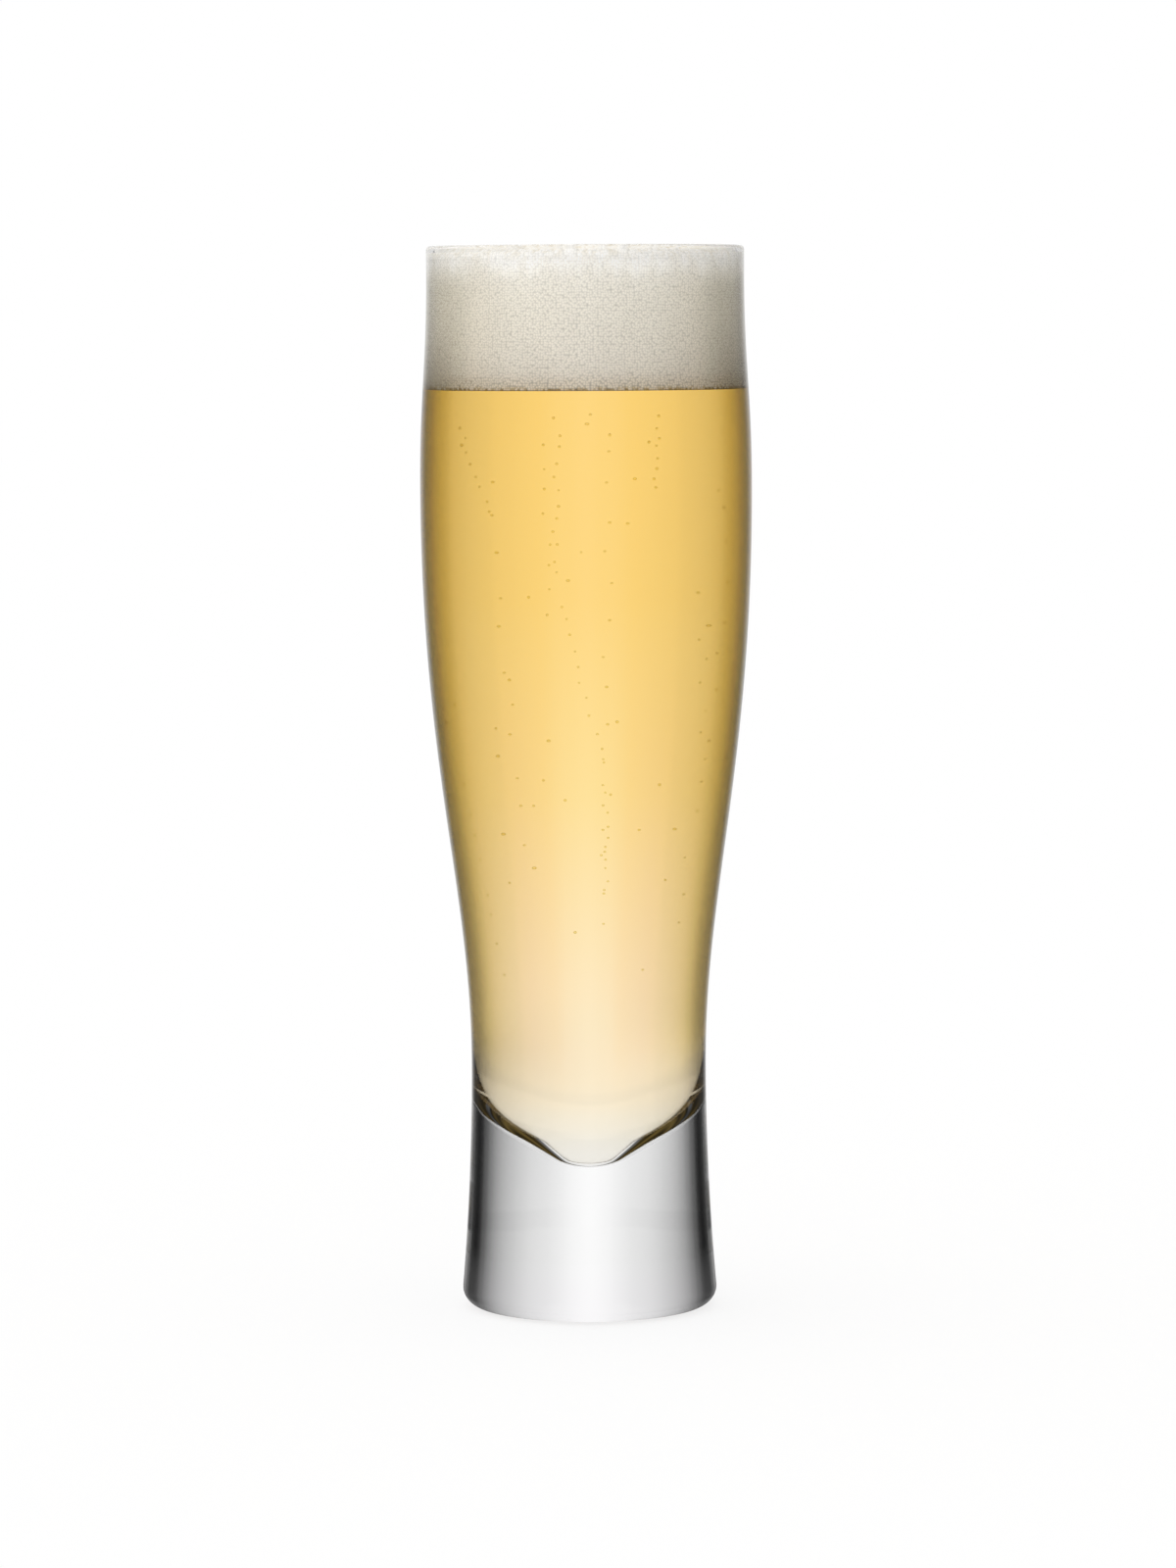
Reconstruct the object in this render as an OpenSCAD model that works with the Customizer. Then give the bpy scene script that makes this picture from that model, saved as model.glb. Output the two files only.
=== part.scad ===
// Tall wheat-beer glass on a heavy solid foot, filled with pale beer under a thick head of foam.
// Millimetres, Z up. The origin lies on the table under the middle of the foot.

/* [Glass outside] */
// Overall height from the table to the rim
glass_h = 245; // [230:1:265]
// Outer diameter at the rim
rim_d = 73; // [66:0.5:76]
// Height of the upright collar below the rim
collar_h = 6; // [4:0.5:20]
// Outer diameter of the belly, the widest place
belly_d = 76.4; // [74:0.2:84]
// Height of the belly above the table
belly_z = 190; // [170:1:200]
// Outer diameter of the waist, the narrowest place
waist_d = 54.3; // [51:0.1:57]
// Height of the waist above the table
waist_z = 56; // [48:0.5:64]
// Outer diameter of the foot
foot_d = 58.9; // [57:0.1:66]
// Rounding of the foot's lower edge
foot_round = 4.3; // [2:0.1:6]
// Inward lean of the foot's side just above that edge, in degrees from upright
foot_lean = 5; // [2:0.5:8]
// How far the waist stays slim, as a share of the rise from waist to belly
waist_share = 0.31; // [0.2:0.01:0.4]
// How far the belly stays full, as a share of the same rise
belly_share = 0.49; // [0.35:0.01:0.6]
// How far the foot keeps its lean, as a share of the rise from foot to waist
foot_share = 0.31; // [0.2:0.01:0.4]
// How softly the belly turns in and the collar turns up, as a share of the rise between them
shoulder_share = 0.43; // [0.3:0.01:0.5]

/* [Glass inside] */
// Wall thickness at the rim
rim_wall = 1.6; // [1.2:0.1:2.4]
// Wall thickness at the belly
belly_wall = 1.9; // [1.4:0.1:3]
// Wall thickness at the waist, where the blown wall runs into the foot
waist_wall = 2.9; // [2.2:0.1:4]
// Thickness of the solid foot on the axis
base_h = 32.8; // [28:0.2:40]
// Slope of the inside floor, in degrees from level
floor_slope = 38.5; // [33:0.5:45]
// Rounding of the floor's lowest point
tip_round = 9.8; // [5:0.1:11.5]
// Rounding where the floor turns up into the wall
bowl_round = 31; // [24:0.5:33]
// Diameter of the hollow under the foot
punt_d = 36; // [28:1:42]
// Depth of the hollow under the foot
punt_depth = 0.8; // [0.4:0.1:2]

/* [Drink] */
// Height of the foam above the beer, without its crown
head_h = 31.8; // [15:0.2:45]
// Clear wall left above the foam
head_gap = 1; // [0.6:0.1:8]
// Rounding of the foam's upper edge
head_round = 3; // [1:0.1:6]
// Rise of the foam from that edge to the middle
head_crown = 0.6; // [0.2:0.1:3]

/* [Bubbles] */
// Smallest bubble, low in the beer
bubble_min_d = 0.4; // [0.3:0.05:0.6]
// Largest bubble, close under the foam
bubble_max_d = 0.7; // [0.65:0.05:1]
// Single bubbles between the trains
loose_n = 40; // [10:1:60]

/* [Hidden] */
rim_r = rim_d / 2;
belly_r = belly_d / 2;
waist_r = waist_d / 2;
foot_r = foot_d / 2;
punt_r = punt_d / 2;
lip_r = rim_wall / 2;
bore_r = rim_r - rim_wall;
waist_bore_r = waist_r - waist_wall;
belly_bore_r = belly_r - belly_wall;
collar_z = glass_h - collar_h;
head_z = glass_h - head_gap;
beer_z = head_z - head_h;
curve_n = 26;
arc_n = 10;
round_fn = 180;

// Points of a cubic curve, its first point left out so that curves can be chained
function curve(a, b, c, d, n) =
    [for (i = [1 : n]) let (t = i / n, s = 1 - t)
        s * s * s * a + 3 * s * s * t * b + 3 * s * t * t * c + t * t * t * d];

// Points of an arc about a centre, both ends included
function arc(centre, r, from, to, n) =
    [for (i = [0 : n]) let (w = from + (to - from) * i / n)
        centre + r * [cos(w), sin(w)]];

// A curve that leaves one height upright and reaches the next one upright, so that curves blend
function swell(r0, z0, r1, z1, low, high, n) =
    curve([r0, z0], [r0, z0 + low * (z1 - z0)], [r1, z1 - high * (z1 - z0)], [r1, z1], n);

// Hollow under the foot, as one shallow arc from the axis to the ring the glass stands on
punt_arc_r = (punt_r * punt_r + punt_depth * punt_depth) / (2 * punt_depth);
punt_half = asin(punt_r / punt_arc_r);
punt_curve = arc([0, punt_depth - punt_arc_r], punt_arc_r, 90, 90 - punt_half, 6);

// Foot: rounded lower edge, then a side that leans in and straightens up into the waist
foot_edge = arc([foot_r - foot_round, foot_round], foot_round, -90, foot_lean, arc_n);
foot_top = foot_edge[arc_n];
foot_rise = waist_z - foot_top[1];
foot_side = curve(
    foot_top,
    foot_top + foot_share * foot_rise * [-sin(foot_lean), cos(foot_lean)],
    [waist_r, waist_z - foot_share * foot_rise],
    [waist_r, waist_z], 12);

// Outside from the foot to the rim
outer_curve = concat(
    foot_edge,
    foot_side,
    swell(waist_r, waist_z, belly_r, belly_z, waist_share, belly_share, curve_n),
    swell(belly_r, belly_z, rim_r, collar_z, shoulder_share, shoulder_share, 14));
lip_curve = arc([rim_r - lip_r, glass_h - lip_r], lip_r, 0, 180, 12);

// Inside floor: rounded tip, straight cone and a wide rounding, each tangent to the next
tip_curve = arc([0, base_h + tip_round], tip_round, -90, floor_slope - 90, 6);
tip_end = tip_curve[6];
bowl_start_r = waist_bore_r - bowl_round * (1 - sin(floor_slope));
bowl_start_z = tip_end[1] + (bowl_start_r - tip_end[0]) * tan(floor_slope);
bowl_z = bowl_start_z + bowl_round * cos(floor_slope);
bowl_curve = arc([waist_bore_r - bowl_round, bowl_z], bowl_round, floor_slope - 90, 0, arc_n);

// Inside from the tip to the rim, which the beer and the foam share with the glass
inner_curve = concat(
    tip_curve,
    bowl_curve,
    swell(waist_bore_r, bowl_z, belly_bore_r, belly_z, waist_share, belly_share, curve_n),
    swell(belly_bore_r, belly_z, bore_r, collar_z, shoulder_share, shoulder_share, 14),
    [[bore_r, glass_h - lip_r]]);
inner_table = [for (p = inner_curve) [p[1], p[0]]];

// Inside radius at a height
function inner_r(z) = lookup(z, inner_table);

// Inside wall strictly between two heights
function wall_between(z0, z1) =
    [for (p = inner_curve) if (p[1] > z0 + 0.05 && p[1] < z1 - 0.05) p];

function reversed(list) = [for (i = [len(list) - 1 : -1 : 0]) list[i]];

// A bubble is [x, y, z, diameter]: its place is a share of the inside radius, so it stays in the beer
function bubble(side, front, z, size) =
    let (d = bubble_min_d + (bubble_max_d - bubble_min_d) * size,
         r = inner_r(z) - 2 * bubble_max_d)
    [side * r, -front * r, z, d];

// Bubble trains: share of the radius to the side at the lower and upper end, share to the front,
// both ends as shares of the beer's depth, and how many bubbles rise in the train
trains = [
    [0.12, 0.11, 0.25, 0.36, 0.50, 10],
    [0.10, -0.15, 0.25, 0.52, 0.74, 11],
    [-0.17, -0.15, 0.25, 0.76, 0.97, 12],
    [0.35, 0.38, 0.20, 0.87, 0.97, 8],
    [-0.52, -0.72, 0.30, 0.84, 0.96, 8],
    [0.74, 0.66, 0.30, 0.52, 0.70, 6],
    [-0.65, -0.78, 0.10, 0.24, 0.52, 8],
    [-0.22, -0.25, 0.72, 0.70, 0.95, 8],
    [0.08, 0.10, -0.31, 0.30, 0.94, 15],
    [-0.34, -0.38, -0.46, 0.40, 0.90, 11],
    [0.58, 0.66, -0.22, 0.34, 0.88, 11]
];
function share_z(share) = base_h + share * (beer_z - base_h);
train_bubbles = [
    for (k = [0 : len(trains) - 1])
        let (t = trains[k],
             drift = rands(-1, 1, t[5], 40 + k),
             sway = rands(-0.02, 0.02, t[5], 120 + k),
             swellup = rands(0.2, 1, t[5], 80 + k))
        for (i = [0 : t[5] - 1])
            let (u = (i + 0.5 + 0.2 * drift[i]) / t[5],
                 v = t[3] + (t[4] - t[3]) * u)
            bubble(t[0] + (t[1] - t[0]) * u + sway[i], t[2] - sway[i], share_z(v), v * swellup[i])
];

// Single bubbles, spread evenly about the axis by the golden angle
loose_depth = rands(0.25, 0.98, loose_n, 7);
loose_size = rands(0.3, 1, loose_n, 11);
loose_bubbles = [
    for (i = [0 : loose_n - 1])
        let (share = 0.95 * sqrt((i + 0.5) / loose_n), bearing = 137.508 * i)
        bubble(share * cos(bearing), share * sin(bearing), share_z(loose_depth[i]), loose_size[i])
];
bubbles = concat(train_bubbles, loose_bubbles);

// Bowl, waist and solid foot, one piece of blown glass
module glass() {
    color([0.90, 0.94, 0.95, 0.35])
        rotate_extrude($fn = round_fn)
            polygon(concat(punt_curve, outer_curve, lip_curve, reversed(inner_curve)));
}

// All bubbles as plain balls
module bubble_balls() {
    for (b = bubbles)
        translate([b[0], b[1], b[2]])
            sphere(d = b[3], $fn = 24);
}

// Beer up to the foam, with room left for each bubble
module beer() {
    color([0.93, 0.66, 0.16, 0.8])
        difference() {
            rotate_extrude($fn = round_fn)
                polygon(concat(
                    wall_between(base_h - 1, beer_z),
                    [[inner_r(beer_z), beer_z], [0, beer_z]]));
            bubble_balls();
        }
}

// Foam from the beer to just below the rim, round at its edge and slightly crowned
module foam_head() {
    edge_z = head_z - head_round;
    top_r = inner_r(head_z) - head_round;
    top_z = head_z + head_crown;
    color([0.93, 0.91, 0.85])
        rotate_extrude($fn = round_fn)
            polygon(concat(
                [[0, beer_z], [inner_r(beer_z), beer_z]],
                wall_between(beer_z, edge_z),
                arc([top_r, edge_z], head_round, 0, 90, 8),
                curve([top_r, head_z], [top_r * 0.6, head_z], [top_r * 0.4, top_z], [0, top_z], 10)));
}

// Gas bubbles on their way up through the beer
module rising_bubbles() {
    color([0.98, 0.93, 0.75, 0.5])
        bubble_balls();
}

glass();
beer();
foam_head();
rising_bubbles();
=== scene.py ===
# %% [markdown]
# # A wheat-beer glass, full
# A tall glass on a solid foot, with pale beer and a thick head of foam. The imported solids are
# loaded first and never moved: they say where every piece is. Each piece that shows is then built
# as a finer mesh in the same place and takes its solid's place in the picture.

# %% Load the frame
import math

import bmesh
import bpy
import numpy as np
from mathutils import Matrix, Vector
from mathutils.kdtree import KDTree


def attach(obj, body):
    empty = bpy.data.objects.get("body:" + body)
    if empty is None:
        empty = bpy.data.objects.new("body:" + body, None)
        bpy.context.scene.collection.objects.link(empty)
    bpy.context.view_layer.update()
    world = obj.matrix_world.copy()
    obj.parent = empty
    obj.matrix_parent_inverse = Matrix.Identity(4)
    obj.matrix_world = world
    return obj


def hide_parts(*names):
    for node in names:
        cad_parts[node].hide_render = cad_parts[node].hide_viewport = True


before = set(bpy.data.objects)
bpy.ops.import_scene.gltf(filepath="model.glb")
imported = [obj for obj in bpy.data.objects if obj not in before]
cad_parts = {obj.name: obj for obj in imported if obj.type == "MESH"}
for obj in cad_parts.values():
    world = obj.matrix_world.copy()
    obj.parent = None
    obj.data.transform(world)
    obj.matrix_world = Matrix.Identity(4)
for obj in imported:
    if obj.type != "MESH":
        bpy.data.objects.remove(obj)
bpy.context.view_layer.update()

# %% [markdown]
# ## The outside of the glass
# Everything round on this object is one section turned about the Z axis. The section is written
# with the sizes of the solid, in millimetres, as arcs and cubic curves. A curve that leaves and
# arrives upright blends into the next one without a crease, which keeps the light in the glass
# calm. A curve drawn by hand in Blender would do as well, but could not follow a changed size.

# %% Outside section
MM = 0.001
quarter = math.pi / 2
glass_h, collar_h = 245.0, 6.0
rim_r, belly_r, waist_r, foot_r = 36.5, 38.2, 27.15, 29.45
belly_z, waist_z, collar_z = 190.0, 56.0, glass_h - collar_h
foot_round, foot_lean = 4.3, math.radians(5)
waist_share, belly_share, foot_share, shoulder_share = 0.31, 0.49, 0.31, 0.43
rim_wall = 1.6
lip_r = rim_wall / 2
punt_r, punt_depth = 18.0, 0.8
punt_n, edge_n, side_n, rise_n, shoulder_n, lip_n = 10, 24, 36, 80, 36, 16


def curve(a, b, c, d, n):
    """Points of a cubic curve, the first left out so that curves can be chained."""
    t = np.linspace(0, 1, n + 1)[1:, None]
    a, b, c, d = (np.array(p, float) for p in (a, b, c, d))
    return (1 - t) ** 3 * a + 3 * (1 - t) ** 2 * t * b + 3 * (1 - t) * t ** 2 * c + t ** 3 * d


def arc(centre, r, start, end, n):
    """Points of an arc about a centre, both ends included."""
    w = np.linspace(start, end, n + 1)
    return np.array(centre) + r * np.column_stack([np.cos(w), np.sin(w)])


def swell(r0, z0, r1, z1, low, high, n):
    """A curve that leaves one height upright and reaches the next one upright."""
    rise = z1 - z0
    return curve((r0, z0), (r0, z0 + low * rise), (r1, z1 - high * rise), (r1, z1), n)


punt_arc_r = (punt_r ** 2 + punt_depth ** 2) / (2 * punt_depth)
punt_half = math.asin(punt_r / punt_arc_r)
punt = arc((0, punt_depth - punt_arc_r), punt_arc_r, quarter, quarter - punt_half, punt_n)
foot_edge = arc((foot_r - foot_round, foot_round), foot_round, -quarter, foot_lean, edge_n)
foot_top = foot_edge[-1]
foot_pull = foot_share * (waist_z - foot_top[1])
leaning = np.array([-math.sin(foot_lean), math.cos(foot_lean)])
foot_side = curve(
    foot_top, foot_top + foot_pull * leaning,
    (waist_r, waist_z - foot_pull), (waist_r, waist_z), side_n)
wall = np.vstack([
    foot_side,
    swell(waist_r, waist_z, belly_r, belly_z, waist_share, belly_share, rise_n),
    swell(belly_r, belly_z, rim_r, collar_z, shoulder_share, shoulder_share, shoulder_n)])
lip = arc((rim_r - lip_r, glass_h - lip_r), lip_r, 0, math.pi, lip_n)
print("outside:", len(punt) + len(foot_edge) + len(wall) + len(lip), "points up to", glass_h, "mm")

# %% [markdown]
# ## The inside of the glass
# The inside is its own line, not an offset of the outside, because a blown wall is thin at the rim
# and thick at the waist. It starts on the solid foot with a rounded tip, climbs as a cone, turns up
# in a wide rounding and then follows the wall. Beer and foam take their shape from the same line.

# %% Inside section
belly_wall, waist_wall = 1.9, 2.9
base_h, floor_slope, tip_round, bowl_round = 32.8, math.radians(38.5), 9.8, 31.0
head_gap, head_h = 1.0, 31.8
head_z = glass_h - head_gap
beer_z = head_z - head_h
tip_n, cone_n, bowl_n = 16, 10, 32

bore_r, belly_bore_r, waist_bore_r = rim_r - rim_wall, belly_r - belly_wall, waist_r - waist_wall
tip = arc((0, base_h + tip_round), tip_round, -quarter, floor_slope - quarter, tip_n)
bowl_start_r = waist_bore_r - bowl_round * (1 - math.sin(floor_slope))
bowl_start_z = tip[-1][1] + (bowl_start_r - tip[-1][0]) * math.tan(floor_slope)
bowl_z = bowl_start_z + bowl_round * math.cos(floor_slope)
bowl = arc((waist_bore_r - bowl_round, bowl_z), bowl_round, floor_slope - quarter, 0, bowl_n)
inside = np.vstack([
    tip, np.linspace(tip[-1], bowl[0], cone_n)[1:-1], bowl,
    swell(waist_bore_r, bowl_z, belly_bore_r, belly_z, waist_share, belly_share, rise_n),
    swell(belly_bore_r, belly_z, bore_r, collar_z, shoulder_share, shoulder_share, shoulder_n),
    [[bore_r, glass_h - lip_r]]])


def inner_r(z):
    """Inside radius at a height."""
    return np.interp(z, inside[:, 1], inside[:, 0])


print("inside radius at the beer line", round(float(inner_r(beer_z)), 2), "mm")

# %% [markdown]
# ## Turning a section into a mesh
# Blender's Screw modifier turns a section too, but here each ring has to know which finish it
# takes: the same glass surface meets air in one place and beer in another. So the rings are laid
# out in code. A section that starts or ends on the axis gets one point there and a fan of
# triangles, so no faces of zero size are left to catch the light.

# %% The lathe
on_axis = 1e-6


def in_scene(name, data):
    """An object that shows a mesh, or a camera, in the scene."""
    made = bpy.data.objects.new(name, data)
    bpy.context.scene.collection.objects.link(made)
    return made


def mesh_piece(name, points, faces, finish=None):
    """A smooth mesh object from points in millimetres."""
    mesh = bpy.data.meshes.new(name)
    mesh.from_pydata([tuple(float(v) * MM for v in p) for p in points], [], faces)
    if finish is not None:
        mesh.polygons.foreach_set("material_index", finish)
    mesh.polygons.foreach_set("use_smooth", [True] * len(faces))
    mesh.update()
    return in_scene(name, mesh)


def lathe_net(section, turns):
    """Points, faces and the ring each face starts from, for a section (radius, height)."""
    angles = np.linspace(0, 2 * math.pi, turns, endpoint=False)
    points, rings = [], []
    for r, z in section:
        if r < on_axis:
            rings.append([len(points)])
            points.append((0, 0, z))
        else:
            rings.append(list(range(len(points), len(points) + turns)))
            points.extend(zip(r * np.cos(angles), r * np.sin(angles), [z] * turns))
    faces, ring_of = [], []
    for k, (low, high) in enumerate(zip(rings, rings[1:])):
        for i in range(turns):
            j = (i + 1) % turns
            face = [low[i % len(low)], low[j % len(low)], high[j % len(high)], high[i % len(high)]]
            faces.append(list(dict.fromkeys(face)))
            ring_of.append(k)
    return np.array(points), faces, ring_of


def stands_for(piece, node):
    """The piece takes its solid's place and moves with the one body."""
    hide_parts(node)
    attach(piece, "root")
    print(piece.name, "stands for", node, "with", len(piece.data.polygons), "faces")


# %% [markdown]
# ## Shader maths as Python
# A material is easier to read as a sum than as a web of wires. This class holds one output of a
# node. Adding or multiplying two of them adds a Math node, or Vector Math for vectors, and any
# other node comes from `node`, with its settings first and then what goes into its sockets.

# %% A wire that can be used in sums
class Wire:
    def __init__(self, tree, socket=None):
        self.tree, self.socket = tree, socket

    def node(self, kind, settings=None, sockets=None, out=0):
        """Add a node, set it up, fill its sockets and hold one of its outputs."""
        made = self.tree.nodes.new(kind)
        for key, value in (settings or {}).items():
            if key == "stops":
                stops = made.color_ramp.elements
                while len(stops) < len(value):
                    stops.new(0.5)
                for stop, (place, shade) in zip(stops, value):
                    stop.position = place
                    stop.color = (*shade, 1) if isinstance(shade, tuple) else (shade, shade, shade, 1)
            elif key == "blending":
                made.color_ramp.interpolation = value
            else:
                setattr(made, key, value)
        for key, value in (sockets or {}).items():
            if isinstance(value, Wire):
                self.tree.links.new(value.socket, made.inputs[key])
            else:
                made.inputs[key].default_value = value
        return Wire(self.tree, made.outputs[out]) if len(made.outputs) else None

    def also(self, out):
        """Another output of the same node."""
        return Wire(self.tree, self.socket.node.outputs[out])

    def _sum(self, operation, first, second):
        vector = any(isinstance(w, Wire) and w.socket.type == "VECTOR" for w in (first, second))
        kind = "ShaderNodeVectorMath" if vector else "ShaderNodeMath"
        return self.node(kind, {"operation": operation}, {0: first, 1: second})

    def __add__(self, other):
        return self._sum("ADD", self, other)

    def __radd__(self, other):
        return self._sum("ADD", other, self)

    def __sub__(self, other):
        return self._sum("SUBTRACT", self, other)

    def __rsub__(self, other):
        return self._sum("SUBTRACT", other, self)

    def __mul__(self, other):
        return self._sum("MULTIPLY", self, other)

    def __rmul__(self, other):
        return self._sum("MULTIPLY", other, self)

    def __truediv__(self, other):
        return self._sum("DIVIDE", self, other)

    def __rtruediv__(self, other):
        return self._sum("DIVIDE", other, self)

    def more(self, other):
        """The larger of two values."""
        return self._sum("MAXIMUM", self, other)

    def size(self):
        """The value without its sign."""
        return self.node("ShaderNodeMath", {"operation": "ABSOLUTE"}, {0: self})

    def root(self):
        return self.node("ShaderNodeMath", {"operation": "SQRT"}, {0: self})

    def ease(self, start, end):
        """0 before start and 1 after end, with a soft step between."""
        return self.node("ShaderNodeMapRange", {"interpolation_type": "SMOOTHSTEP"},
                         {"Value": self, "From Min": start, "From Max": end})

    def grey(self):
        """This value as a colour."""
        return self.node("ShaderNodeCombineXYZ", None, {0: self, 1: self, 2: self})

    def between(self, low, high):
        """A colour from low, where this is 0, to high, where it is 1."""
        return self.node("ShaderNodeMix", {"data_type": "RGBA"}, {0: self, 6: low, 7: high}, out=2)

    def times(self, colour):
        """This colour, multiplied by another one."""
        return self.node("ShaderNodeMix", {"data_type": "RGBA", "blend_type": "MULTIPLY"},
                         {0: 1.0, 6: self, 7: colour}, out=2)

    def ramp(self, stops, blending="LINEAR"):
        return self.node("ShaderNodeValToRGB", {"stops": stops, "blending": blending}, {0: self})

    def parts(self):
        """The three numbers of a vector."""
        first = self.node("ShaderNodeSeparateXYZ", None, {0: self})
        return first, first.also(1), first.also(2)


def new_finish(name):
    """An empty material and a wire to start its nodes from."""
    material = bpy.data.materials.new(name)
    material.use_nodes = True
    material.node_tree.nodes.clear()
    return material, Wire(material.node_tree)


def lay_on(wire, shader):
    """The shader becomes what the surface shows."""
    wire.node("ShaderNodeOutputMaterial", None, {"Surface": shader})


# %% [markdown]
# ## Painted shade on a turned wall
# Glass is drawn by what it bends, so its edge is where it looks dark: there it shows the dim sides
# of the room, not the bright ground behind it. A studio gets that edge with black cards beside the
# glass. Cards would only suit one view, so the edge shade is painted onto the glass itself: Layer
# Weight knows how far a face is turned away, and a turned face gets a darker painted colour, which
# dims the light that passes it. Over the foam this painted shade also stands for the foam's own
# shaded sides. Each list goes from a wall that faces the eye, 0, to one that is seen edge on, 1.
# The foot is a solid lens and is painted darker than the bowl.

# %% Painted edge shade of a turned wall
# painted shade: each ramp darkens the glass's colour as the wall turns away from the eye
foam_side_painted_shade = [
    (0, (1, 1, 1)), (0.05, (0.985, 0.985, 0.985)), (0.1, (0.96, 0.96, 0.955)),
    (0.18, (0.88, 0.87, 0.85)), (0.28, (0.80, 0.78, 0.74)), (0.37, (0.67, 0.655, 0.60)),
    (0.46, (0.57, 0.55, 0.49)), (0.54, (0.53, 0.51, 0.45)), (0.63, (0.50, 0.485, 0.43)),
    (0.72, (0.47, 0.465, 0.44)), (0.8, (0.45, 0.45, 0.44)), (1.0, (0.55, 0.55, 0.55))]
bowl_painted_edge_shade = [
    (0, 1.0), (0.045, 0.998), (0.07, 0.978), (0.11, 0.95), (0.16, 0.92), (0.195, 0.875),
    (0.23, 0.85), (0.313, 0.785), (0.346, 0.76), (0.4, 0.71), (0.457, 0.625), (0.507, 0.554),
    (0.564, 0.479), (0.608, 0.42), (0.66, 0.37), (0.72, 0.353), (0.8, 0.353), (1.0, 0.42)]
upper_painted_outline = [
    (0, 1.0), (0.28, (1, 1, 0.96)), (0.34, (1, 1, 0.93)), (0.40, (1, 0.99, 0.88)),
    (0.45, (0.99, 0.97, 0.78)), (0.505, (0.98, 0.95, 0.67)), (0.55, (0.97, 0.94, 0.70)),
    (0.60, (0.96, 0.92, 0.73)), (0.645, (0.89, 0.86, 0.75)), (0.70, (0.81, 0.86, 0.84)),
    (0.76, (0.71, 0.80, 0.88)), (0.81, (0.62, 0.71, 0.71)), (0.89, (0.58, 0.63, 0.65)),
    (1.0, (0.68, 0.70, 0.71))]
# painted shade: the foot's dark bands, nearly black where the foot is well turned
foot_painted_edge_shade = [
    (0, 1.0), (0.008, 0.975), (0.033, 0.895), (0.076, 0.81), (0.141, 0.74), (0.183, 0.675),
    (0.232, 0.60), (0.292, 0.51), (0.362, 0.39), (0.428, 0.255), (0.49, 0.135), (0.564, 0.036),
    (0.608, 0.012), (0.659, 0.007), (0.72, 0.026), (0.80, 0.17), (1.0, 0.65)]


def squared(stops):
    """A clear face shows the root of its colour, so a ramp holds squares."""
    return [(place, tuple(np.square(shade * np.ones(3)).tolist())) for place, shade in stops]


def turned_away(place):
    """How far the wall is turned from the eye, by its bearing alone: 0 facing, 1 edge on."""
    outward = place.node("ShaderNodeVectorMath", {"operation": "NORMALIZE"}, {0: place * (1, 1, 0)})
    return place.node("ShaderNodeLayerWeight", None, {"Blend": 0.5, "Normal": outward}, out="Facing")


print("darkest tint: foot", min(shade for _, shade in foot_painted_edge_shade), "bowl",
      min(shade for _, shade in bowl_painted_edge_shade))

# %% [markdown]
# ## The painted light by height
# One wall runs past three things: the solid foot, the beer and the foam. Each has its own painted
# light and shade, and heights say where one gives way to the next. The line between foot and beer
# climbs towards the edge of the glass, because the inside floor does. The foot's rounded lower edge
# is painted a little lighter, the upper half of the bowl has a painted golden and then darker
# outline, the wall is painted darker at its turned edge over the low, wet foam, and the painted
# shade pales over the upper foam and towards the rim.

# %% Tint and painted light of the wall
white, black = (1, 1, 1, 1), (0, 0, 0, 1)
foot_bend, foot_cool = (6 * MM, 16 * MM), (0.995, 0.98, 1, 1)
# painted light: the foot's lower edge is mixed a little towards white, less where it is turned
foot_painted_glow, painted_glow_lost, painted_glow_turned = 0.0145, 0.012, (0.42, 0.62)
floor_line, floor_climb = (34.3 * MM, 35.7 * MM), 14.8 * MM
upper_bowl = (112 * MM, 150 * MM)
beer_line = ((beer_z - 0.2) * MM, (beer_z + 0.2) * MM)
# painted shade: the turned edge over the low foam is darkened further
low_foam_shade_share, low_foam_shade_turned, low_foam_shade_band = 0.3, (0.25, 0.6), (beer_z * MM, (beer_z + 20) * MM)
# painted light: the painted edge shade pales over the upper foam and at the rim
foam_upper_painted_light, foam_wall = 0.16, (212 * MM, 232 * MM)
rim_painted_light, rim_band = 0.54, (234 * MM, glass_h * MM)


# painted light: the foot's edge shade with a faint painted glow low down, and a slight cool tint
def foot_tint_and_painted_light(away, z):
    side = z.ease(*foot_bend)
    glow = (foot_painted_glow - painted_glow_lost * away.ease(*painted_glow_turned)) * (1 - side)
    colour_with_painted_light = glow.between(away.ramp(squared(foot_painted_edge_shade)), white)
    return colour_with_painted_light.times(side.between(foot_cool, white))


# painted light: darker turned edges over the beer, with a painted golden then darker outline higher up
def beer_wall_painted_light(away, z):
    upper = z.ease(*upper_bowl).between(white, away.ramp(squared(upper_painted_outline)))
    return away.ramp(squared(bowl_painted_edge_shade)).times(upper)


# painted shade: the foam's rounded sides, darker still at the edge over the low foam
def foam_wall_painted_shade(away, z):
    low_foam_shade = low_foam_shade_share * away.ease(*low_foam_shade_turned) * (1 - z.ease(*low_foam_shade_band))
    return low_foam_shade.between(away.ramp(squared(foam_side_painted_shade)), black)


# painted light and shade for the whole outer wall, by height and by turn
def wall_tint_and_painted_light(away, z):
    above_floor = (z - floor_climb * away.root()).ease(*floor_line)
    colour_with_painted_light = above_floor.between(foot_tint_and_painted_light(away, z), beer_wall_painted_light(away, z))
    colour_with_painted_light = z.ease(*beer_line).between(colour_with_painted_light, foam_wall_painted_shade(away, z))
    painted_light_share = foam_upper_painted_light * z.ease(*foam_wall) + rim_painted_light * z.ease(*rim_band)
    return painted_light_share.between(colour_with_painted_light, white)


print("the wall's tint changes at", floor_line, "and", beer_line, "m")

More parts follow.
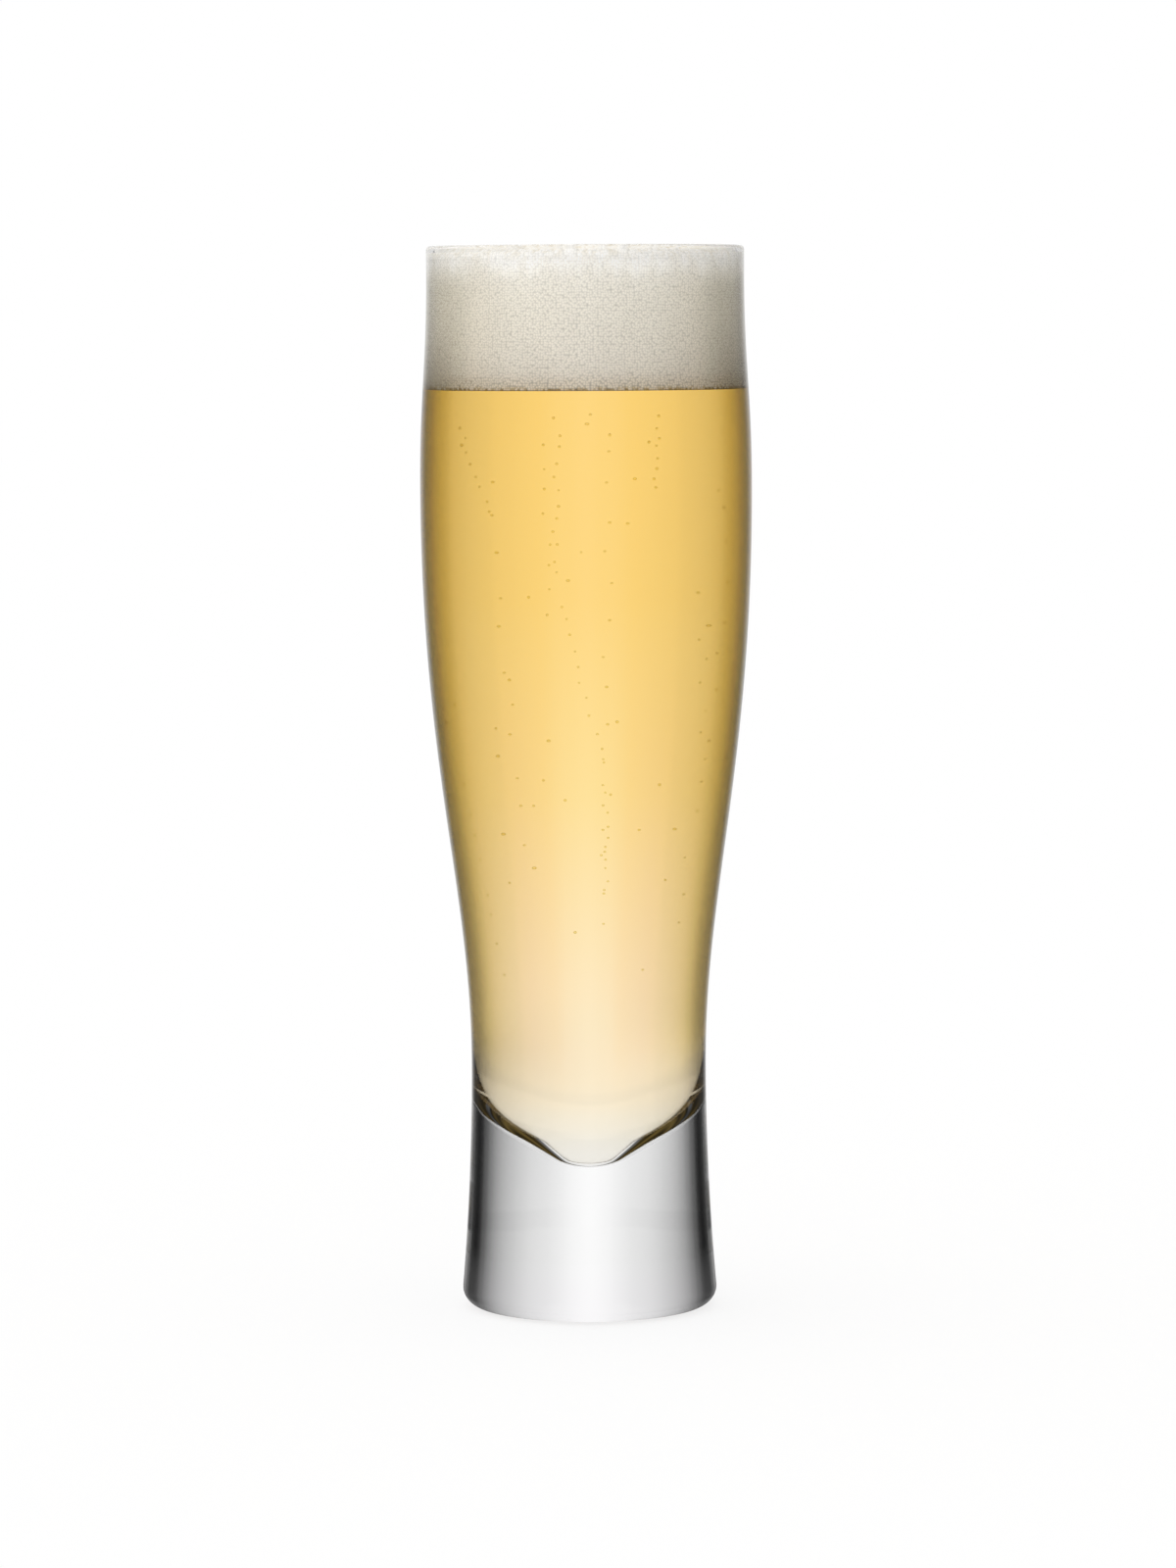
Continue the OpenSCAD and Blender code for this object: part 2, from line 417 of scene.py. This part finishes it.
# %% [markdown]
# ## Clear glass
# Shallow ripples from the mould bend the light a little, most of all low on the foot. A Bump node is
# enough for them, as they are far too flat to show on the outline. A face that is seen from within
# the glass takes no painted edge shade, so that light is dimmed once on its way through. Underside
# and lip are films: light that comes from within passes them straight. Under the foot, a wet table
# does just that, and at the lip it keeps the rim thin and pale.

# %% Glass finishes
glass_n, beer_n = 1.5, 1.36
swirl_stretch, swirl_scale, swirl_detail = (1, 1, 0.35), 90.0, 1.0
ring_stretch, ring_scale, ring_detail = (0.05, 0.05, 1), 420.0, 2.0
ring_band = (8 * MM, 32 * MM)
ripple_strength, ripple_height = 0.25, 0.05 * MM


def noise(place, stretch, scale, detail):
    """Soft noise, drawn out along the axes that have a small stretch."""
    return place.node("ShaderNodeTexNoise", None, {
        "Vector": place * stretch, "Scale": scale, "Detail": detail})


def mould_ripples(place, z):
    swirl = noise(place, swirl_stretch, swirl_scale, swirl_detail)
    rings = noise(place, ring_stretch, ring_scale, ring_detail)
    low = 1 - z.ease(*ring_band)
    return place.node("ShaderNodeBump", None, {
        "Strength": ripple_strength, "Distance": ripple_height, "Height": swirl + low * rings})


def clear_glass(name, ior, turned=False, film=False):
    """turned: the outside, with its painted light and shade and its ripples. film: light from within
    passes straight.
    """
    material, w = new_finish(name)
    sockets = {"Base Color": white, "Roughness": 0.0, "IOR": ior, "Transmission Weight": 1.0}
    if turned or film:
        from_within = w.node("ShaderNodeNewGeometry", out="Backfacing")
    if turned:
        place = w.node("ShaderNodeTexCoord", out="Object")
        _, _, z = place.parts()
        sockets["Base Color"] = from_within.between(wall_tint_and_painted_light(turned_away(place), z), white)
        sockets["Normal"] = mould_ripples(place, z)
    if film:
        sockets["Alpha"] = 1 - from_within
    lay_on(w, w.node("ShaderNodeBsdfPrincipled", None, sockets))
    return material


outer_glass = clear_glass("clear_glass", glass_n, turned=True)
inner_glass = clear_glass("clear_glass_inside", glass_n)
wet_glass = clear_glass("clear_glass_under_beer", glass_n / beer_n)
under_glass = clear_glass("clear_glass_underside", glass_n, turned=True, film=True)
lip_glass = clear_glass("clear_glass_lip", glass_n, film=True)
print("glass bends by", glass_n, "against air and", round(glass_n / beer_n, 3), "against beer")

# %% [markdown]
# ## The glass
# Bowl, waist and foot are blown as one piece, so they are one mesh. Where its inside is wet with
# beer or foam, the light goes from glass to liquid and bends much less than at a dry wall, so the
# drink seems to reach out to the edge of the glass. One face can only have one index of refraction,
# so the inside is cut just below the rim and the two parts get a finish each.

# %% Glass body
glass_turns = 360
wet_z = glass_h - rim_wall


def inside_up_to(z):
    """The inside line, cut off at a height."""
    return np.vstack([inside[inside[:, 1] < z], [[inner_r(z), z]]])


wet_wall = inside_up_to(wet_z)
dry_wall = inside[inside[:, 1] > wet_z]
stretches = [np.vstack([punt, foot_edge]), wall, lip[:-1], dry_wall[::-1], wet_wall[::-1]]
stretch_of = np.repeat(range(len(stretches)), [len(stretch) for stretch in stretches])
points, faces, ring_of = lathe_net(np.vstack(stretches), glass_turns)
glass = mesh_piece("glass_body", points, faces, [min(stretch_of[k:k + 2]) for k in ring_of])
for finish in (under_glass, outer_glass, lip_glass, inner_glass, wet_glass):
    glass.data.materials.append(finish)
stands_for(glass, "glass")

# %% [markdown]
# ## Beer
# The beer is a body of coloured liquid just inside the glass. The bend at the wall is already the
# glass's, so the beer itself bends nothing and only colours what passes. A volume would do that
# too, but slowly and with grain. A real beer is paler where the glass is slim, because the light
# has less of it to cross; here the colour follows the height, and its pale lower part is partly
# that and partly painted light, the glow from below through the foot. In the slim part its sides
# are painted a deeper amber, a painted edge shade. A gap thinner than a hair keeps beer and glass
# from sharing a face.

# %% Beer finish
# colour by height: the beer's own amber, paled towards the bottom partly by painted light from below
beer_colour_and_painted_glow = [
    (33, (0.90, 0.885, 0.84)), (35, (0.88, 0.855, 0.775)), (40, (0.92, 0.86, 0.73)),
    (44, (0.95, 0.85, 0.66)), (49, (0.975, 0.84, 0.61)), (58, (0.975, 0.825, 0.575)),
    (67, (0.98, 0.823, 0.545)), (76, (1, 0.82, 0.517)), (120, (1, 0.76, 0.31)),
    (165, (1, 0.69, 0.205)), (beer_z, (1, 0.68, 0.19))]
# painted shade: the beer's turned sides are darkened to a deeper amber
beer_side_painted_shade = [
    (0, (1, 1, 1)), (0.028, (1, 0.95, 0.90)), (0.08, (1, 0.93, 0.87)), (0.16, (1, 0.93, 0.78)),
    (0.22, (1, 0.92, 0.70)), (0.29, (0.97, 0.89, 0.56)), (0.34, (0.85, 0.78, 0.47))]
side_shade_starts, side_shade_fades, side_shade_lost = (46 * MM, 66 * MM), (120 * MM, 165 * MM), 0.75

beer_finish, w = new_finish("pale_beer")
place = w.node("ShaderNodeTexCoord", out="Object")
_, _, z = place.parts()
colour_with_painted_light = (z / (beer_z * MM)).ramp([(height / beer_z, shade) for height, shade in beer_colour_and_painted_glow])
# how strongly the painted side shade shows, by height
side_shade_share = z.ease(*side_shade_starts) * (1 - side_shade_lost * z.ease(*side_shade_fades))
sides = side_shade_share.between(white, turned_away(place).ramp(beer_side_painted_shade))
lay_on(w, w.node("ShaderNodeBsdfPrincipled", None, {
    "Base Color": colour_with_painted_light.times(sides), "Roughness": 0.0, "IOR": 1.0, "Transmission Weight": 1.0}))
print("beer is coloured from", beer_colour_and_painted_glow[0][0], "to", round(beer_z, 1), "mm")

# %% Beer body
skin, beer_turns = 0.03, 288
section = np.vstack([inside_up_to(beer_z), [[0, beer_z]]])
section[:, 0] = np.maximum(section[:, 0] - skin, 0)
section[:, 1] += np.where(section[:, 1] < bowl_z, skin / 2, 0)
section[0] = (0, base_h + skin)
section[-2:, 1] -= skin / 2
points, faces, _ = lathe_net(section, beer_turns)
beer = mesh_piece("pale_beer", points, faces)
beer.data.materials.append(beer_finish)
stands_for(beer, "beer")

# %% [markdown]
# ## The head of foam
# Foam is a heap of bubbles: fine where it is pressed against the wall, coarse and wet just above
# the beer, and open on top, where the largest ones burst last. Blender could scatter spheres, but
# most of each would be hidden in its neighbours. So the surface is one fine net of points, and
# each bubble lifts the points under it to its own dome. Where two domes meet, a crease stays, and
# creases are what makes foam look like foam.

# %% Net of the foam
head_crown, head_round = 0.6, 3.0
foam_gap, foam_turns = 0.08, 640
foam_side_n, foam_edge_n, foam_top_n = 92, 15, 98
under_share = 0.6
foam_foot_z, foam_edge_z = beer_z + skin, head_z - head_round

side_z = np.linspace(foam_foot_z, foam_edge_z, foam_side_n)
side = np.column_stack([inner_r(side_z) - foam_gap, side_z])
edge_r = float(side[-1][0])
shoulder = arc((edge_r - head_round, foam_edge_z), head_round, 0, quarter, foam_edge_n)[1:]
top_r = np.linspace(edge_r - head_round, 0, foam_top_n)[1:]
top = np.column_stack([top_r, head_z + head_crown * (1 - (top_r / top_r[0]) ** 2)])
top = np.vstack([shoulder, top])
under_foam = np.array([[0, foam_foot_z], [side[0][0] * under_share, foam_foot_z]])
points, faces, _ = lathe_net(np.vstack([under_foam, side, top]), foam_turns)
n_under = 1 + foam_turns
n_side = len(side) * foam_turns
on_side, on_top = slice(n_under, n_under + n_side), slice(n_under + n_side, None)
print("foam net", len(points), "points, radius at its edge", round(edge_r, 2), "mm")

# %% [markdown]
# ## Bubbles that lift the net
# Each bubble is a ball, sunk in the surface by a share of its radius, and a search tree finds the
# points that it covers. On the wall the glass holds the bubbles back, so their domes stay level and
# only the creases go in. On top the domes stand up, apart from the rounded edge, where they fade
# out.

# %% Domes on the wall
rng = np.random.default_rng(7)
foam_dent, wall_sunk = 0.12, 0.3
# lowest and highest place, smallest and largest radius, and how often they cover the wall
wall_layers = [
    (beer_z - 0.2, beer_z + 4.5, 0.42, 0.85, 2.6),
    (beer_z + 3.5, head_z - 5, 0.36, 0.6, 1.6),
    (head_z - 6, head_z, 0.4, 1.1, 1.6)]


def domes(points, groups, sunk):
    """For balls sunk in the surface by a share: the highest dome over each point, and how far up
    its own dome the point lies, from 0 in the crease to 1 on top."""
    tree = KDTree(len(points))
    for i, p in enumerate(points):
        tree.insert(p, i)
    tree.balance()
    height, share = np.zeros(len(points)), np.zeros(len(points))
    for centres, radii in groups:
        for centre, r in zip(centres, radii):
            for _, i, d in tree.find_range(centre, r):
                rise = math.sqrt(max(r * r - d * d, 0)) - sunk * r
                if rise > height[i]:
                    height[i], share[i] = rise, rise / (r - sunk * r)
    return height, share


def wall_bubbles(z_low, z_high, r_low, r_high, fill):
    """Bubbles spread over the wall between two heights."""
    wall_area = 2 * math.pi * inner_r((z_low + z_high) / 2) * (z_high - z_low)
    n = int(fill * wall_area / (math.pi * ((r_low + r_high) / 2) ** 2))
    z, bearing = rng.uniform(z_low, z_high, n), rng.uniform(0, 2 * math.pi, n)
    r = inner_r(z) - foam_gap
    return np.column_stack([r * np.cos(bearing), r * np.sin(bearing), z]), rng.uniform(r_low, r_high, n)


groups = [wall_bubbles(*layer) for layer in wall_layers]
lift, _ = domes(points[on_side], groups, wall_sunk)
dent = foam_dent - np.minimum(lift, foam_dent)
dent[:foam_turns] = 0
bearing = np.arctan2(points[on_side][:, 1], points[on_side][:, 0])
points[on_side, 0] -= dent * np.cos(bearing)
points[on_side, 1] -= dent * np.sin(bearing)
print([len(radii) for _, radii in groups], "bubbles on the wall, dents to",
      round(float(dent.max()), 2), "mm")

# %% Domes on top
top_sunk, top_margin = 0.45, 0.3
dome_share, dome_most, dome_base = 0.75, 1.2, 0.3
crease_share = 0.75
# how many, smallest and largest radius, and the share of the top's radius they start from
top_layers = [(9000, 0.32, 0.7, 0), (700, 0.7, 1.3, 0.1), (90, 1.3, 2.4, 0.5)]


def top_bubbles(n, r_low, r_high, from_share):
    """Bubbles spread over the top, from a share of its radius out to the wall."""
    reach = np.sqrt(rng.uniform(from_share ** 2, 1, n)) * (inner_r(head_z) - top_margin)
    bearing = rng.uniform(0, 2 * math.pi, n)
    size = r_low * (r_high / r_low) ** rng.uniform(0, 1, n)
    return np.column_stack([reach * np.cos(bearing), reach * np.sin(bearing), np.zeros(n)]), size


flat_top = points[on_top].copy()
flat_top[:, 2] = 0
turned_up = np.repeat(np.clip((edge_r - top[:-1, 0]) / head_round, 0, 1), foam_turns)
turned_up = np.append(turned_up, 1)
groups = [top_bubbles(*layer) for layer in top_layers]
lift, share = domes(flat_top, groups, top_sunk)
points[on_top, 2] += (dome_share * np.minimum(lift, dome_most) - dome_base) * turned_up
# painted shade: how dark each point of the top is painted, darkest in the creases between domes
crease = np.zeros(len(points))
crease[on_top] = (1 - crease_share * share) * np.sqrt(turned_up)
print([len(radii) for _, radii in groups], "bubbles on top, domes to", round(float(lift.max()), 2), "mm")

# %% [markdown]
# ## The look of foam
# Foam is white because it scatters light, so a plain matte shader with a pale, warm colour is
# right for it. Its grain comes from Voronoi cells the size of its bubbles, laid out on the wall as if
# it were unrolled: each is a little lighter or darker than the next, with a darker seam between. On
# top, the creases between the domes are painted darker in the seams' place, a painted shade. White
# bubbles stand in the top few millimetres and run down in ragged drips; that white top is partly
# the fresh foam's own colour and partly painted light from above. The lowest ones are wet and
# brownish, with a painted dark shade line just above the beer, and soft patches, taller than wide,
# show where bubbles rose last.

# %% Foam finish
# colour by height: a painted dark shade line at the beer, wet brownish foam, and a white top that is
# partly painted light
foam_colour_and_painted_light = [
    (0.0, (0.34, 0.24, 0.08)), (0.012, (0.60, 0.50, 0.32)), (0.026, (0.77, 0.71, 0.585)),
    (0.10, (0.80, 0.752, 0.66)), (0.16, (0.825, 0.783, 0.70)), (0.25, (0.843, 0.802, 0.722)),
    (0.45, (0.868, 0.832, 0.752)), (0.67, (0.89, 0.857, 0.78)), (0.80, (0.90, 0.87, 0.80)),
    (0.88, (0.95, 0.93, 0.88)), (0.94, (0.975, 0.965, 0.94)), (1.0, (0.975, 0.965, 0.94))]
foam_cell, cell_spread, ragged_edge = 0.58 * MM, 0.7, 0.8 * MM
patch_stretch, patch_scale, patch_detail = (1, 1, 0.35), 120.0, 3.0
drip_stretch, drip_scale, drip_detail = (1, 1, 0.3), 260.0, 2.0
drip_length, drip_band = 0.3, (0.55, 0.8)
wet_band, fresh_and_lit_band = (0.02, 0.14), (0.8, 0.92)
wall_band = ((edge_r - 3) * MM, (edge_r - 1.5) * MM)
cell_light, patch_light, base_light = 0.08, 0.12, 1.095
seam_wet, seam_fresh_and_lit, seam_dark = 0.3, 0.15, 0.52
# painted shade colour for the creases between domes
painted_crease_shade = (0.74, 0.68, 0.56, 1)

foam_finish, w = new_finish("beer_foam")
place = w.node("ShaderNodeTexCoord", out="Object")
x, y, z = place.parts()
bearing = w.node("ShaderNodeMath", {"operation": "ARCTAN2"}, {0: x, 1: 0 - y})
unrolled = w.node("ShaderNodeCombineXYZ", None, {0: bearing * (edge_r * MM), 1: z})
cells = w.node("ShaderNodeTexVoronoi", {"voronoi_dimensions": "2D"}, {
    "Vector": unrolled, "Scale": 1 / foam_cell, "Randomness": cell_spread}, out="Color")
shade, ragged, _ = cells.parts()
seams = cells.also("Distance") * (x * x + y * y).root().ease(*wall_band)
patches = noise(place, patch_stretch, patch_scale, patch_detail)
drips = noise(place, drip_stretch, drip_scale, drip_detail)

level = (z - beer_z * MM + (ragged - 0.5) * ragged_edge) / ((head_z - beer_z) * MM)
level = level + (drips - 0.5) * drip_length * level.ease(*drip_band)
# the whiter top with shallower seams: partly the fresh foam's colour, partly painted light from above
wet, fresh_and_lit = 1 - level.ease(*wet_band), level.ease(*fresh_and_lit_band)
seam_depth = wet * seam_wet - fresh_and_lit * seam_fresh_and_lit + seam_dark
mottle = shade * cell_light + patches * patch_light + base_light - seams * seam_depth
# the painted crease shade is multiplied into the foam's colour
painted_crease_mask = w.node("ShaderNodeAttribute", {"attribute_name": "crease"}, out="Fac")
colour = level.ramp(foam_colour_and_painted_light).times(mottle.grey()).times(painted_crease_mask.between(white, painted_crease_shade))
bump = w.node("ShaderNodeBump", None, {"Strength": 0.4, "Distance": 0.1 * MM, "Height": 1 - seams})
lay_on(w, w.node("ShaderNodeBsdfPrincipled", None, {
    "Base Color": colour, "Roughness": 0.55, "Specular IOR Level": 0.35, "Normal": bump}))

foam = mesh_piece("head_of_foam", points, faces)
foam.data.attributes.new("crease", "FLOAT", "POINT").data.foreach_set("value", crease)
foam.data.materials.append(foam_finish)
stands_for(foam, "foam_head")

# %% [markdown]
# ## Rising gas
# The bubbles in the beer are little balls of gas. Their places come from the solid itself: each
# loose part of its mesh is one ball, with a middle and a width. Gas in beer bends light the other
# way round from beer in air, so the index is below 1. A real bubble throws the dark sides of the
# room at the eye and so has a dark ring; here Layer Weight gives the ring to the ball itself.

# %% Bubbles in the beer
gas_n, same_place, ball_steps = 0.93, 1e-6, 3
gas_ring = [
    (0, (1, 0.97, 0.85)), (0.04, (0.93, 0.88, 0.6)), (0.13, (0.8, 0.74, 0.36)),
    (1.0, (0.64, 0.58, 0.2))]


def balls_of(node):
    """Centre and width, in metres, of each ball in a solid that holds many."""
    bm = bmesh.new()
    bm.from_mesh(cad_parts[node].data)
    bmesh.ops.remove_doubles(bm, verts=bm.verts, dist=same_place)
    left, balls = set(bm.verts), []
    while left:
        heap, ball = [left.pop()], []
        while heap:
            point = heap.pop()
            ball.append(point.co.copy())
            for edge in point.link_edges:
                other = edge.other_vert(point)
                if other in left:
                    left.discard(other)
                    heap.append(other)
        low, high = np.min(ball, axis=0), np.max(ball, axis=0)
        balls.append(((low + high) / 2, float((high - low).max())))
    bm.free()
    return balls


def bmesh_piece(name, bm, finish):
    """An object from a bmesh that is done with."""
    mesh = bpy.data.meshes.new(name)
    bm.to_mesh(mesh)
    bm.free()
    mesh.materials.append(finish)
    return in_scene(name, mesh)


gas_finish, w = new_finish("gas_bubble")
facing = w.node("ShaderNodeLayerWeight", None, {"Blend": 0.5}, out="Facing")
lay_on(w, w.node("ShaderNodeBsdfPrincipled", None, {
    "Base Color": facing.ramp(gas_ring), "Roughness": 0.0, "IOR": gas_n, "Transmission Weight": 1.0}))
balls = balls_of("rising_bubbles")
bm = bmesh.new()
for centre, width in balls:
    bmesh.ops.create_icosphere(
        bm, subdivisions=ball_steps, radius=width / 2, matrix=Matrix.Translation(centre))
for face in bm.faces:
    face.smooth = True
bubbles = bmesh_piece("rising_gas", bm, gas_finish)
stands_for(bubbles, "rising_bubbles")
print(len(balls), "bubbles")

# %% [markdown]
# ## Table
# The glass stands on white. For the camera the table is plain white with a faint shadow. Light that
# reaches the eye through the glass finds the same white, a little stronger from the left, and light
# that is thrown back by the glass finds a darker table, so that no white veil lies over the glass.
# Light Path tells the kinds of ray apart and counts how often each was bent. Under the foot, a ray
# thrown off the outside finds a table that dims towards the sides. One that was bent once more finds
# it pale, and one that was thrown about inside the foot finds brown rings, a painted shadow under the
# foot that shows as the foot's dark bands.

# %% Table
table_r, table_drop, table_corners = 8.0, 0.2 * MM, 96
off_glass = [(0, 1.0), (15, 0.7), (35, 0.12), (60, 0.05), (90, 0.12)]
foot_line = [(0, 0.95), (15, 0.8), (30, 0.5), (45, 0.36), (60, 0.3), (90, 0.3)]
pale_table = (0.86, 0.85, 0.83, 1)
# painted shadow under the foot, in beer-brown rings, seen only by rays thrown about inside the foot
painted_shadow_under_foot = [
    (0, (0.30, 0.2, 0.05)), (0.5, (0.02, 0.014, 0.004)), (0.62, (0.14, 0.095, 0.025)),
    (0.75, (0.02, 0.014, 0.004)), (0.9, (0.09, 0.06, 0.015)), (1.0, (0.01, 0.008, 0.003))]
past_foot = (1.0, 1.1)
second_bend, third_bend = (1.2, 1.8), (2.2, 2.8)
left_light, light_starts, light_ends = 0.22, (0.03, 0.25), (0, 1.4)
seen_glow = 0.8


def ray(wire, kind):
    return wire.node("ShaderNodeLightPath", out=kind)


def thrown_off(wire):
    """1 for rays that the last face threw back."""
    return ray(wire, "Is Glossy Ray") * ray(wire, "Is Reflection Ray")


def around(x, y, stops):
    """Brightness by the bearing from the glass, in degrees, the same in all four quarters."""
    turn = x.node("ShaderNodeMath", {"operation": "ARCTAN2"}, {0: x.size(), 1: y.size()})
    return (turn / quarter).ramp([(degrees / 90, v) for degrees, v in stops], "EASE")


table_finish, w = new_finish("white_table")
x, y, _ = w.node("ShaderNodeNewGeometry", out="Position").parts()
length = (x * x + y * y).root()
reach = length / (foot_r * MM)
lit = 1 - left_light * x / length * (length.ease(*light_starts) - length.ease(*light_ends))
seen, through, off = ray(w, "Is Camera Ray"), ray(w, "Is Transmission Ray"), thrown_off(w)
bends = ray(w, "Ray Depth")
below = bends.ease(*third_bend).between(pale_table, reach.ramp(painted_shadow_under_foot))
below = bends.ease(*second_bend).between(around(x, y, foot_line), below)
thrown = reach.ease(*past_foot).between(below, around(x, y, off_glass))
shown = seen.between(off.between(lit.grey(), thrown), white)
matte = w.node("ShaderNodeBsdfDiffuse", None, {"Color": white})
glow = w.node("ShaderNodeEmission", None, {"Color": shown, "Strength": 1.0})
glowing = (seen_glow * seen).more(through.more(off))
lay_on(w, w.node("ShaderNodeMixShader", None, {0: glowing, 1: matte, 2: glow}))

bm = bmesh.new()
bmesh.ops.create_circle(bm, cap_ends=True, segments=table_corners, radius=table_r,
                        matrix=Matrix.Translation((0, 0, -table_drop)))
table = bmesh_piece("table_top", bm, table_finish)
print("table", 2 * table_r, "m across")

# %% [markdown]
# ## White room
# The room is a white world, which lights everything evenly and needs no lamps. Light that the glass
# throws back finds it dark at the sides, as it does the table. On matte foam the light comes a
# little more from the left, which gives the foam its roundness.

# %% White room
room_lean = 0.44
world = bpy.data.worlds.new("white_room")
bpy.context.scene.world = world
world.use_nodes = True
world.node_tree.nodes.clear()
w = Wire(world.node_tree)
x, y, _ = w.node("ShaderNodeTexCoord", out="Generated").parts()
on_matte = ray(w, "Diffuse Depth").ease(0, 1)
room = thrown_off(w).between((1 - room_lean * x * on_matte).grey(), around(x, y, off_glass))
back = w.node("ShaderNodeBackground", None, {"Color": room, "Strength": 1.0})
w.node("ShaderNodeOutputWorld", None, {"Surface": back})
print("room nodes", len(world.node_tree.nodes))

# %% [markdown]
# ## Camera
# The photograph was taken from about a metre and a third away, a little below the rim and looking
# slightly down: the rim is seen edge on, and the foot shows a shallow curve. The picture leans by
# a quarter of a degree, and the camera leans with it.

# %% Camera
focal_px, picture_h, film = 5853, 1600, 36
eye = Vector((0.12, -1320.9, 229)) * MM
aim = Vector((0.12, 0, 121.2)) * MM
lean = math.radians(-0.27)
nearest, farthest = 0.05, 50

camera_data = bpy.data.cameras.new("camera")
camera_data.sensor_width = film
camera_data.lens = film * focal_px / picture_h
camera_data.clip_start, camera_data.clip_end = nearest, farthest
camera = in_scene("camera", camera_data)
bpy.context.scene.camera = camera
look = (aim - eye).to_track_quat("-Z", "Y").to_matrix().to_4x4()
camera.matrix_world = Matrix.Translation(eye) @ look @ Matrix.Rotation(lean, 4, "Z")
print("lens", round(camera_data.lens, 1), "mm")

# %% [markdown]
# ## Light paths
# A ray crosses the wall, the beer and the far wall, and may be thrown back inside the foot several
# times, so it is given many steps before it is cut off.

# %% Finish
scene = bpy.context.scene
scene.view_settings.view_transform = "Standard"
scene.cycles.max_bounces = 32
scene.cycles.transmission_bounces = 32
scene.cycles.glossy_bounces = 12
scene.cycles.diffuse_bounces = 12
scene.cycles.transparent_max_bounces = 16
scene.cycles.blur_glossy = 0.0
